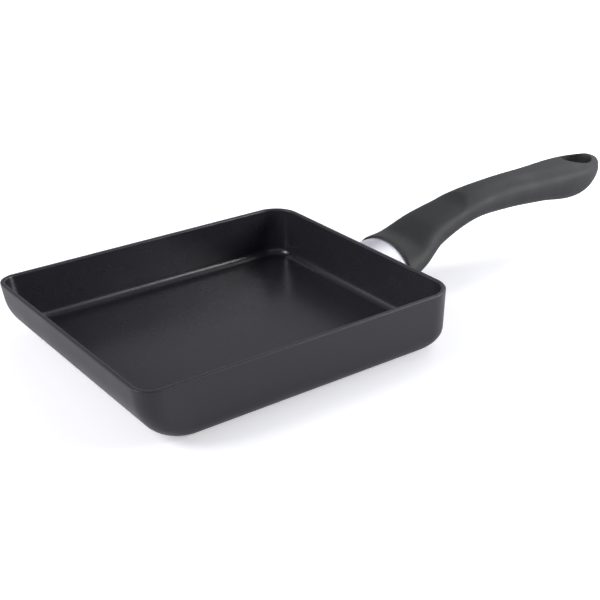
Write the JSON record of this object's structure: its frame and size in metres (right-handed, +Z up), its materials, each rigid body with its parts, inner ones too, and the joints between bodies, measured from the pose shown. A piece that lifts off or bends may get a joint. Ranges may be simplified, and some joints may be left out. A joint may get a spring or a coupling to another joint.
{
  "type": "tamagoyaki pan",
  "caption": "Rectangular non-stick rolled-omelette pan with a leaning front wall, a bright oval ferrule and a curved moulded handle with a hanging hole.",
  "frame": {"origin": "on the table the pan stands on, under the middle of its rim", "axes": "+X along the pan towards the tip of the handle, +Y across the pan to the left of the handle, +Z up"},
  "size_m": [0.3683, 0.15, 0.0482],
  "materials": {
    "coated_aluminium": "matt dark non-stick coat over drawn aluminium",
    "base_steel": "ground stainless steel",
    "stud_aluminium": "bare, turned",
    "bracket_steel": "pressed sheet steel, zinc plated",
    "zinc_steel": "zinc plated",
    "ferrule_steel": "bright satin stainless steel",
    "phenolic": "matt black moulded phenolic resin"
  },
  "bodies": {
    "root": {"pan_body": "coated_aluminium", "base_plate": "base_steel", "weld_studs": "stud_aluminium", "handle_bracket": "bracket_steel", "bracket_washers": "zinc_steel", "bracket_nuts": "zinc_steel", "ferrule": "ferrule_steel", "handle_grip": "phenolic", "tongue_nut": "zinc_steel", "handle_screw": "zinc_steel", "screw_washer": "zinc_steel"}
  },
  "joints": []
}
